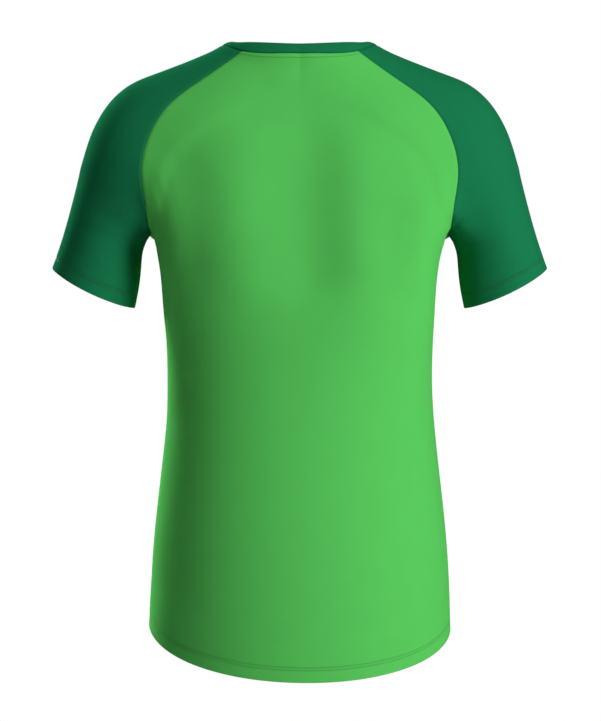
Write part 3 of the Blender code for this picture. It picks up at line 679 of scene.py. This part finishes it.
def fine_cloth(coarse, kind):
    """The panel's smooth surface, with close columns at its seams and close rows at its ends.

    Near its seams the part above the armpit and the part below it are each a curve of their own.
    """
    across = edge_places(coarse, SEAM_STEPS, SEAM_STEPS, FINE_COLUMNS[kind])
    lines = read_lines(coarse, across).transpose(1, 0, 2)
    down = edge_places(lines, NECK_STEPS, HEM_STEPS, FINE_ROWS[kind])
    whole = read_lines(lines, down)
    upper = read_lines(lines[:, :RAGLAN_ROWS + 1], np.minimum(down, RAGLAN_ROWS))
    lower = read_lines(lines[:, RAGLAN_ROWS:], np.maximum(down - RAGLAN_ROWS, 0))
    parts = np.where((down <= RAGLAN_ROWS)[..., None], upper, lower)
    column = np.arange(len(lines))
    from_seam = np.minimum(column, column[::-1]) / len(SEAM_STEPS)
    near = np.exp(-from_seam ** 2)[:, None, None]
    return (near * parts + (1 - near) * whole).transpose(1, 0, 2)


def grid_normals(grid):
    """Unit normals of a grid of points, square to its two directions."""
    normal = np.cross(np.gradient(grid, axis=1), np.gradient(grid, axis=0))
    return normal / (np.linalg.norm(normal, axis=-1, keepdims=True) + TINY)


def add_up(step, axis):
    """Steps between the lines of a grid added up, from 0 at its first line."""
    start = np.zeros_like(np.take(step, [0], axis=axis))
    return np.concatenate([start, np.cumsum(step, axis=axis)], axis=axis)


def edge_distances(grid, axis):
    """Distances along the cloth from the first and from the last line of a grid, at each point."""
    step = np.linalg.norm(np.diff(grid, axis=axis), axis=-1)
    return add_up(step, axis), np.flip(add_up(np.flip(step, axis), axis), axis)


def bell(distance, width):
    """1 at no distance, falling off as a bell of the given half width."""
    return np.exp(-(distance / width) ** 2)


def groove(distance, places, width, depth):
    """Narrow troughs where stitches pull the cloth down."""
    return -depth * sum(bell(distance - place, width) for place in places)


@functools.lru_cache(None)
def cloth_face(name):
    """The middle surface of a panel's cloth, creased and dipped, before its hem is turned up.

    The number given with it, 1 or -1, turns its normals out of the shirt.
    """
    if name in ("back", "front"):
        grid = fine_cloth(body_panel(BACK if name == "back" else FRONT), "body")
    else:
        grid = fine_cloth(sleeve_panel(LEFT if name == "sleeve_left" else RIGHT), "sleeve")
    facing = grid_normals(grid)
    outward = np.sign((facing * (grid - grid.mean(axis=(0, 1)))).sum())
    facing = facing * outward
    from_top, from_hem = edge_distances(grid, 0)
    from_left, from_right = edge_distances(grid, 1)
    rise = SURFACE_RISE + fold_height(grid, CREASES) * smooth_step(from_top / CREASE_FADES)
    seams = bell(from_left, SEAM_BELL) + bell(from_right, SEAM_BELL) + bell(from_top, SEAM_BELL)
    rise -= cloth_sizes().seam_dip * np.minimum(seams, 1)
    rise += groove(from_hem, HEM_LINES, STITCH_BELL, STITCH_DEPTH)
    below_stitches = smooth_step((HEM_LINES[0] - from_hem) / HEM_LINES[0])
    rise += HEM_SWELL * below_stitches * bell(from_hem, HEM_SWELL_WIDTH)
    if name in ("back", "front"):
        rise += groove(from_top, (NECK_LINE,), STITCH_BELL, STITCH_DEPTH)
    return grid + facing * rise[..., None], outward


def turn_under(grid, facing, depth, radius):
    """Adds a turned edge after a grid's last row: a half circle, then rows back up behind it."""
    rows = np.flatnonzero(HEM_STEPS <= depth + TINY)[1:]
    along = unit(grid[-1] - grid[-2])
    turn = np.radians(HEM_CURL)[:, None, None]
    curl = grid[-1] + radius * np.sin(turn) * along - radius * (1 - np.cos(turn)) * facing[-1]
    back = grid[::-1][rows] - 2 * radius * facing[::-1][rows]
    return np.concatenate([grid, curl, back])


def wall_triangles(rows, columns):
    """Triangles of a sheet: outer grid, inner grid cut along the same diagonals, and the rims."""
    index = np.arange(rows * columns).reshape(rows, columns)
    outer = cell_triangles(index[:-1, :-1], index[:-1, 1:], index[1:, 1:], index[1:, :-1])
    faces = [outer, outer[:, ::-1] + rows * columns]
    for rim in (index[0], index[-1][::-1], index[::-1, 0], index[:, -1]):
        under = rim + rows * columns
        faces.append(cell_triangles(rim[1:], rim[:-1], under[:-1], under[1:]))
    return np.concatenate(faces)


def cell_triangles(first, second, third, fourth):
    """Two triangles for each four-cornered cell."""
    halves = [np.stack([first, second, third], axis=-1), np.stack([first, third, fourth], axis=-1)]
    return np.concatenate(halves, axis=-2).reshape(-1, 3)


def faced_outwards(points, faces):
    """Triangles turned over if the volume they enclose comes out negative."""
    first, second, third = (points[faces[:, corner]] for corner in range(3))
    return faces[:, ::-1] if (np.cross(first, second) * third).sum() < 0 else faces


def add_mesh(name, points, faces, material, uv=None, shade=None):
    """A smooth-shaded mesh object at the origin, with its flat map and its painted shade if given.
    """
    mesh = bpy.data.meshes.new(name)
    mesh.from_pydata(points.tolist(), [], faces.tolist())
    mesh.materials.append(material)
    mesh.shade_smooth()
    if uv is not None:
        layer = mesh.uv_layers.new(name="cloth")
        corners = np.empty(len(mesh.loops), dtype=np.int32)
        mesh.loops.foreach_get("vertex_index", corners)
        layer.data.foreach_set("uv", uv[corners].ravel())
    if shade is not None:
        mark = mesh.attributes.new("sewn", "FLOAT", "POINT")
        mark.data.foreach_set("value", shade.ravel())
    piece = bpy.data.objects.new(name, mesh)
    bpy.context.collection.objects.link(piece)
    return piece


def cloth_uv(grid):
    """Each point's place on the flat cloth: distance from the middle column, and from the top."""
    across, down = edge_distances(grid, 1)[0], edge_distances(grid, 0)[0]
    across = across - across[:, across.shape[1] // 2, None]
    return np.stack([across, -down], axis=-1)


def painted_sewing_shade_marks(name, grid):
    """How much painted shade darkens each point of a panel: along its stitch lines and into its
    seams, where the dips would be in shade.
    """
    from_top, from_hem = edge_distances(grid, 0)
    sides = np.minimum(*edge_distances(grid, 1))
    marks = sum(bell(from_hem - place, STITCH_SHADE_WIDTH) for place in HEM_LINES)
    if name in ("back", "front"):
        marks = marks + bell(from_top - NECK_LINE, STITCH_SHADE_WIDTH)
    seams = bell(np.minimum(sides, from_top), SEAM_SHADE_WIDTH)
    return np.clip(STITCH_SHADE * marks + SEAM_SHADE * seams, 0, 1)


def add_panel(name, material):
    """A panel as a thin closed shell of cloth, its hem turned up, that stands for its solid."""
    sizes = cloth_sizes()
    half = sizes.thickness / 2
    face, outward = cloth_face(name)
    facing = grid_normals(face) * outward
    grid = turn_under(face, facing, sizes.hem_depth, sizes.fold_radius)
    facing = grid_normals(grid) * outward
    rows, columns = grid.shape[:2]
    points = np.concatenate([(grid + facing * half).reshape(-1, 3),
                             (grid - facing * half).reshape(-1, 3)])
    faces = wall_triangles(rows, columns)
    if outward < 0:
        faces = faces[:, ::-1]
    uv = cloth_uv(grid).reshape(-1, 2)
    # Painted shade along the stitch lines and seams, weaker on the inside of the cloth.
    marks = np.zeros((rows, columns))
    marks[:len(face)] = painted_sewing_shade_marks(name, face)
    shade = np.concatenate([marks.ravel(), INSIDE_SHADE * marks.ravel()])
    piece = add_mesh(name + "_cloth", points, faces, material, np.tile(uv, (2, 1)), shade)
    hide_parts(name)
    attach(piece, BODY_NAME)
    return piece


# --- neckband
def neck_share(seam):
    """How far towards the back each point of the neck seam lies, scaled to its own width."""
    back, front = NECK_SEAM[0].depth, NECK_SEAM[-1].depth
    side, width = NECK_SEAM[2].depth, NECK_SEAM[2].across
    away = seam[:, 1] - side
    return away * width / np.where(away > 0, back - side, side - front)


def add_neckband(material):
    """The neckband: a flat closed loop of doubled cloth carried round from seam to free edge.

    Across the band the outline is a superellipse: its half length is half the way from the seam
    to the edge, and its half thickness that of two layers of cloth.
    """
    left = neck_line(LEFT, 0, 180, NECKBAND_CELLS)
    right = neck_line(RIGHT, 180, 0, NECKBAND_CELLS)
    seam = np.concatenate([left[:-1], right[:-1]])
    angle = np.degrees(np.arctan2(np.abs(seam[:, 0]), neck_share(seam)))
    edge = neck_point(NECK_EDGE, np.sign(seam[:, 0] + TINY), angle)
    width = np.linalg.norm(edge - seam, axis=-1, keepdims=True)
    up = (edge - seam) / width
    around = unit(np.roll(seam, -1, axis=0) - np.roll(seam, 1, axis=0))
    facing = unit(np.cross(around, up))
    facing *= np.sign((facing * (seam - seam.mean(axis=0))).sum())
    turn = np.linspace(0, 2 * np.pi, BAND_TURNS, endpoint=False)
    long = np.sign(np.cos(turn)) * np.abs(np.cos(turn)) ** BAND_END_SHARPNESS
    thick = np.sign(np.sin(turn)) * np.abs(np.sin(turn)) ** BAND_FACE_SHARPNESS
    middle = seam + up * (width / 2 + BAND_LIFT)
    place = middle[None] + long[:, None, None] * (up * (width / 2))[None]
    bow = BAND_BOW * (1 - long ** 2)[:, None, None]
    place = place + (thick[:, None, None] * BAND_THICKNESS / 2 + bow) * facing[None]
    rows, columns = place.shape[:2]
    place = place.reshape(-1, 3)
    index = np.arange(rows * columns).reshape(rows, columns)
    index = np.pad(index, ((0, 1), (0, 1)), mode="wrap")
    faces = cell_triangles(index[:-1, :-1], index[:-1, 1:], index[1:, 1:], index[1:, :-1])
    faces = faced_outwards(place, faces)
    rise = (long[:, None] + 1) * width[:, 0] / 2
    uv = np.stack([np.broadcast_to(lengths(seam), (rows, columns)), rise], axis=-1).reshape(-1, 2)
    # Painted shade along the neckband's seamed edge.
    shade = (SEAM_SHADE * bell(rise + BAND_LIFT, SEAM_SHADE_WIDTH)).ravel()
    piece = add_mesh("collar_cloth", place, faces, material, uv, shade)
    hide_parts("collar")
    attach(piece, BODY_NAME)
    return piece


# --- stitches
def stitch_run(line, facing):
    """A run of stitches along a line of the cloth: each a short arched capsule of thread."""
    sizes = cloth_sizes()
    length = lengths(line)
    count = max(1, int(round(length[-1] / sizes.stitch)))
    share = np.linspace(-0.5, 0.5, THREAD_RINGS)
    at = (np.arange(count)[:, None] + 0.5 + THREAD_SHARE * share) * (length[-1] / count)
    spot = read_along(line, length, at)
    up = unit(read_along(facing, length, at))
    side = np.cross(up, unit(np.gradient(spot, axis=1)))
    arch = sizes.thread * (THREAD_RISE - THREAD_ARCH * share ** 2)
    spot = spot + up * arch[None, :, None]
    turn = np.linspace(0, 2 * np.pi, THREAD_SIDES, endpoint=False)
    taper = sizes.thread * np.sqrt(np.clip(1 - (2 * share) ** 6, THREAD_TIP, 1))
    ring = np.cos(turn)[:, None] * side[:, :, None] + np.sin(turn)[:, None] * up[:, :, None]
    return spot[:, :, None] + taper[None, :, None, None] * ring


def stitch_faces(count):
    """Triangles of that many closed capsules, numbered one after another."""
    index = np.arange(THREAD_RINGS * THREAD_SIDES).reshape(THREAD_RINGS, THREAD_SIDES)
    wrap = np.pad(index, ((0, 0), (0, 1)), mode="wrap")
    tube = cell_triangles(wrap[:-1, :-1], wrap[1:, :-1], wrap[1:, 1:], wrap[:-1, 1:])
    fan = np.arange(1, THREAD_SIDES - 1)
    start = np.stack([0 * fan, fan, fan + 1], axis=-1)
    end = np.stack([0 * fan, fan + 1, fan], axis=-1) + index[-1, 0]
    one = np.concatenate([tube, start, end])
    offset = np.arange(count)[:, None, None] * THREAD_RINGS * THREAD_SIDES
    return (one[None] + offset).reshape(-1, 3)


def add_stitches(name, lines, material):
    """All the stitches of one panel as a single mesh."""
    runs = np.concatenate([stitch_run(line, facing) for line, facing in lines])
    points = runs.reshape(-1, 3)
    faces = faced_outwards(points, stitch_faces(len(runs)))
    piece = add_mesh(name, points, faces, material)
    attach(piece, BODY_NAME)
    return piece


def panel_stitch_lines(name):
    """The lines of a panel that are stitched through: two above its hem, and one below the neck.
    """
    grid, outward = cloth_face(name)
    facing = grid_normals(grid) * outward
    outer = grid + facing * cloth_sizes().thickness / 2
    rows = [len(grid) - 1 - int(np.argmin(np.abs(HEM_STEPS - place))) for place in HEM_LINES]
    if name in ("back", "front"):
        rows.append(int(np.argmin(np.abs(NECK_STEPS - NECK_LINE))))
    return [(outer[row], facing[row]) for row in rows]


# --- materials
def feed(tree, node, entries):
    """Sets a node's entries, to a value or from another node's output."""
    for entry, value in entries.items():
        if isinstance(value, bpy.types.NodeSocket):
            tree.links.new(value, node.inputs[entry])
        else:
            node.inputs[entry].default_value = value


def add_node(tree, kind, entries, **settings):
    """A new node with its settings and entries; its outputs are given back."""
    node = tree.nodes.new("ShaderNode" + kind)
    for setting, value in settings.items():
        setattr(node, setting, value)
    feed(tree, node, entries)
    return node.outputs


def maths(tree, operation, *values):
    """The result of a Math node, for numbers or other nodes' outputs."""
    return add_node(tree, "Math", dict(enumerate(values)), operation=operation)[0]


def stretch(tree, value, given, wanted, **settings):
    """A value that runs over one range, stretched to run over another."""
    entries = {"Value": value, "From Min": given[0], "From Max": given[1],
               "To Min": wanted[0], "To Max": wanted[1]}
    return add_node(tree, "MapRange", entries, **settings)[0]


def raise_relief(tree, height, relief, **under):
    """A surface raised by a height, on top of an earlier relief where Normal names one."""
    entries = {"Strength": relief.strength, "Distance": relief.distance, "Height": height}
    return add_node(tree, "Bump", {**entries, **under})[0]


def new_material(name, entries):
    """A material with its shader's plain entries set, and its tree, shader and Object place."""
    material = bpy.data.materials.new(name)
    material.use_nodes = True
    tree = material.node_tree
    shader = tree.nodes["Principled BSDF"]
    feed(tree, shader, entries)
    return material, tree, shader, add_node(tree, "TexCoord", {})["Object"]


def knit_height(tree, wale):
    """Loops of a fine knit: rounded columns, crossed by loops that slope up to a column's middle.

    Height is the product of a raised cosine across the column and a raised cosine along it, whose
    phase shifts with the distance from the column's middle.
    """
    place = add_node(tree, "UVMap", {}, uv_map="cloth")[0]
    parts = add_node(tree, "SeparateXYZ", {0: place})
    column = maths(tree, "DIVIDE", parts["X"], wale)
    course = maths(tree, "DIVIDE", parts["Y"], wale * COURSE_SHARE)
    shifted = maths(tree, "ADD", course, maths(tree, "PINGPONG", column, 0.5))
    along = maths(tree, "COSINE", maths(tree, "MULTIPLY", shifted, 2 * np.pi))
    across = maths(tree, "COSINE", maths(tree, "MULTIPLY", column, 2 * np.pi))
    return maths(tree, "MULTIPLY", maths(tree, "ADD", along, LOOP_ALONG),
                 maths(tree, "ADD", across, LOOP_ACROSS))


def cloth_material(name, colour, sheen, mottle):
    """Matt knit: loops in relief, with painted shade between them and painted highlight on their
    tops, faint mottling, painted shade along stitch lines and seams, soft sheen.
    """
    material, tree, shader, place = new_material(name, {
        "Roughness": CLOTH_ROUGHNESS, "Specular IOR Level": 0.0, "Sheen Weight": sheen,
        "Sheen Roughness": SHEEN_ROUGHNESS,
        "Sheen Tint": (*(channel ** 0.5 for channel in colour), 1)})
    entries = {"Scale": MOTTLE_SCALE, "Detail": MOTTLE_DETAIL, "Vector": place}
    noise = add_node(tree, "TexNoise", entries)["Fac"]
    mottled = stretch(tree, noise, MOTTLE_RANGE, (1 - mottle, 1 + mottle))
    # Painted shade along stitch lines and seams, from the mesh's points.
    sewn = add_node(tree, "Attribute", {}, attribute_name="sewn")["Fac"]
    kept = maths(tree, "ADD", maths(tree, "MULTIPLY", sewn, -1.0), 1.0)
    loops = knit_height(tree, cloth_sizes().wale)
    # Painted shade between the loops and painted highlight on their tops.
    painted_loop_shade = stretch(tree, loops, LOOP_RANGE, LOOP_SHADE)
    strength = maths(tree, "MULTIPLY", maths(tree, "MULTIPLY", mottled, kept), painted_loop_shade)
    shaded = add_node(tree, "VectorMath", {0: colour, "Scale": strength}, operation="SCALE")[0]
    knit = raise_relief(tree, loops, KNIT_RELIEF)
    soft = raise_relief(tree, noise, SOFT_RELIEF, Normal=knit)
    feed(tree, shader, {"Base Color": shaded, "Normal": soft})
    return material


def thread_material(name, colour):
    """Spun sewing thread, a little darker and glossier than the knit, the darkening partly its own
    tone and partly painted shade of the stitch line, its twist as fine ridges.
    """
    material, tree, shader, place = new_material(name, {
        "Base Color": (*(THREAD_SHADE * channel for channel in colour), 1),
        "Roughness": THREAD_ROUGHNESS, "Sheen Weight": THREAD_SHEEN})
    twist = add_node(tree, "TexWave", {"Scale": TWIST_SCALE, "Vector": place})["Fac"]
    feed(tree, shader, {"Normal": raise_relief(tree, twist, TWIST_RELIEF)})
    return material


def body_knit():
    """The light green knit of the back and the front."""
    colour = tuple(cloth_sizes().body_colour)
    return cloth_material("light_green_knit", colour, BODY_SHEEN, BODY_MOTTLE)


@functools.lru_cache(None)
def sleeve_knit():
    """The dark green knit of the sleeves and the neckband."""
    colour = tuple(cloth_sizes().sleeve_colour)
    return cloth_material("dark_green_knit", colour, SLEEVE_SHEEN, SLEEVE_MOTTLE)


# --- operators
# Each panel's flat cut: width across and length down, and its area where it is no rectangle.
Cut = namedtuple("Cut", "width length area")


def sew_panels(names, material, thread):
    """Panels with their stitches."""
    for name in names:
        piece = add_panel(name, material)
        stitches = add_stitches(name + "_stitches", panel_stitch_lines(name), thread)


class SHIRT_OT_body(bpy.types.Operator):
    """Sews the light green back and front, with their curved hems turned up and stitched"""
    bl_idname = "shirt.body"
    bl_label = "Back and Front"

    def execute(self, context):
        thread = thread_material("light_green_thread", cloth_sizes().body_colour)
        sew_panels(("back", "front"), body_knit(), thread)
        return {"FINISHED"}


class SHIRT_OT_sleeves(bpy.types.Operator):
    """Sews the two dark green raglan sleeves, with their cuffs turned up and stitched"""
    bl_idname = "shirt.sleeves"
    bl_label = "Sleeves"

    def execute(self, context):
        thread = thread_material("dark_green_thread", cloth_sizes().sleeve_colour)
        sew_panels(("sleeve_left", "sleeve_right"), sleeve_knit(), thread)
        return {"FINISHED"}


class SHIRT_OT_neckband(bpy.types.Operator):
    """Sews the narrow dark green neckband of doubled cloth"""
    bl_idname = "shirt.neckband"
    bl_label = "Neckband"

    def execute(self, context):
        piece = add_neckband(sleeve_knit())
        return {"FINISHED"}


class SHIRT_OT_studio(bpy.types.Operator):
    """Sets the pale floor, the soft lights and the camera behind the shirt"""
    bl_idname = "shirt.studio"
    bl_label = "Studio"

    def execute(self, context):
        add_floor()
        add_lights()
        add_room()
        add_camera()
        return {"FINISHED"}


# --- studio
def pale_material(name, colour, radius):
    """Matt pale paint with painted light: it glows a little, more towards the floor's edge, where
    it meets white.
    """
    material, tree, shader, place = new_material(name, {
        "Base Color": (*colour, 1), "Roughness": FLOOR_ROUGHNESS,
        "Specular IOR Level": FLOOR_SHINE, "Emission Color": WHITE})
    flat = add_node(tree, "VectorMath", {0: place, 1: (1, 1, 0)}, operation="MULTIPLY")[0]
    reach = add_node(tree, "VectorMath", {0: flat}, operation="LENGTH")["Value"]
    glow = stretch(tree, reach, (FLOOR_GLOW_FROM * radius, radius), FLOOR_GLOW,
                   interpolation_type="SMOOTHSTEP")
    feed(tree, shader, {"Emission Strength": glow})
    return material


def add_floor():
    """A wide round floor at the height of a wearer's feet: rings of points about its middle."""
    sizes = studio_sizes()
    turn = np.linspace(0, 2 * np.pi, FLOOR_SPOKES, endpoint=False)
    ring = np.stack([np.cos(turn), np.sin(turn)], axis=-1)
    radii = np.linspace(0, 1, FLOOR_RINGS + 1)[1:] * sizes.floor_radius
    flat = (radii[:, None, None] * ring).reshape(-1, 2)
    height = np.full(len(flat) + 1, sizes.floor_height)
    points = np.column_stack([np.vstack([[0, 0], flat]), height])
    index = 1 + np.arange(len(flat)).reshape(len(radii), -1)
    wrap = np.pad(index, ((0, 0), (0, 1)), mode="wrap")
    faces = cell_triangles(wrap[:-1, :-1], wrap[1:, :-1], wrap[1:, 1:], wrap[:-1, 1:])
    hub = np.stack([0 * turn.astype(int), wrap[0, :-1], wrap[0, 1:]], axis=-1)
    paint = pale_material("pale_floor", FLOOR_COLOUR, sizes.floor_radius)
    add_mesh("floor", points, np.concatenate([hub, faces]), paint)


def look_at(place, aim):
    """Turns a camera or light so that it looks from its place at a point, upright."""
    east, north, up = np.array(aim) - np.array(place)
    tilt = np.arctan2(np.hypot(east, north), -up)
    return (tilt, 0, np.arctan2(-east, north))


def aim_object(name, data, place, aim):
    """A light or camera at its place, looking at a point."""
    holder = bpy.data.objects.new(name, data)
    bpy.context.collection.objects.link(holder)
    holder.location = place
    holder.rotation_euler = look_at(place, aim)
    return holder


def add_lights():
    """Soft key beside the camera, rim past the left edge, and weak ones above and in front."""
    for lamp in LAMPS:
        light = bpy.data.lights.new(lamp.name, "AREA")
        light.shape = "RECTANGLE"
        light.size, light.size_y = lamp.width, lamp.height
        light.energy = getattr(studio_sizes(), lamp.name + "_power")
        aim_object(lamp.name, light, lamp.place, SHIRT_MIDDLE)


def add_room():
    """The room: white where the camera sees it, and a faint even light on the shirt."""
    world = bpy.data.worlds.new("white_room")
    bpy.context.scene.world = world
    world.use_nodes = True
    tree = world.node_tree
    faint = tree.nodes["Background"]
    feed(tree, faint, {"Color": WHITE, "Strength": studio_sizes().surround})
    seen = add_node(tree, "Background", {"Color": WHITE, "Strength": 1.0})[0]
    direct = add_node(tree, "LightPath", {})["Is Camera Ray"]
    mixed = add_node(tree, "MixShader", {0: direct, 1: faint.outputs[0], 2: seen})[0]
    feed(tree, tree.nodes["World Output"], {"Surface": mixed})


def add_camera():
    """The camera behind the shirt, whose metre there is as many pixels as in the photo."""
    sizes = studio_sizes()
    column = (PHOTO_WIDTH / 2 - MIDDLE_PIXEL[0]) / PIXELS_PER_METRE
    row = (MIDDLE_PIXEL[1] - PHOTO_HEIGHT / 2) / PIXELS_PER_METRE
    aim = (-column, 0, row)
    place = (-column, sizes.distance, sizes.height)
    away = np.linalg.norm(np.array(place) - np.array(aim))
    camera = bpy.data.cameras.new("camera")
    camera.sensor_width = SENSOR
    camera.lens = camera.sensor_width * away * PIXELS_PER_METRE / PHOTO_HEIGHT
    camera.clip_end = FARTHEST_SEEN
    bpy.context.scene.camera = aim_object("camera", camera, place, aim)
    bpy.context.scene.view_settings.view_transform = "Standard"


class SHIRT_PT_panel(bpy.types.Panel):
    """The shirt's pieces, sizes and colours in the sidebar"""
    bl_label = "Raglan Sports Shirt"
    bl_idname = "SHIRT_PT_panel"
    bl_space_type = "VIEW_3D"
    bl_region_type = "UI"
    bl_category = "Shirt"

    def draw(self, context):
        for group in (context.scene.shirt_cloth, context.scene.shirt_studio):
            box = self.layout.box()
            for name in group.__annotations__:
                box.prop(group, name)
        for operator in OPERATORS:
            self.layout.operator(operator.bl_idname)


OPERATORS = (SHIRT_OT_body, SHIRT_OT_sleeves, SHIRT_OT_neckband, SHIRT_OT_studio)
CLASSES = (ShirtCloth, ShirtStudio, *OPERATORS, SHIRT_PT_panel)


def register():
    """Adds the classes and their settings to Blender."""
    for item in CLASSES:
        bpy.utils.register_class(item)
    bpy.types.Scene.shirt_cloth = bpy.props.PointerProperty(type=ShirtCloth)
    bpy.types.Scene.shirt_studio = bpy.props.PointerProperty(type=ShirtStudio)


def unregister():
    """Takes them away again."""
    del bpy.types.Scene.shirt_studio
    del bpy.types.Scene.shirt_cloth
    for item in reversed(CLASSES):
        bpy.utils.unregister_class(item)


def main():
    """Sews the shirt and sets the studio."""
    register()
    for run in (bpy.ops.shirt.body, bpy.ops.shirt.sleeves, bpy.ops.shirt.neckband,
                bpy.ops.shirt.studio):
        run()


if __name__ == "__main__":
    main()
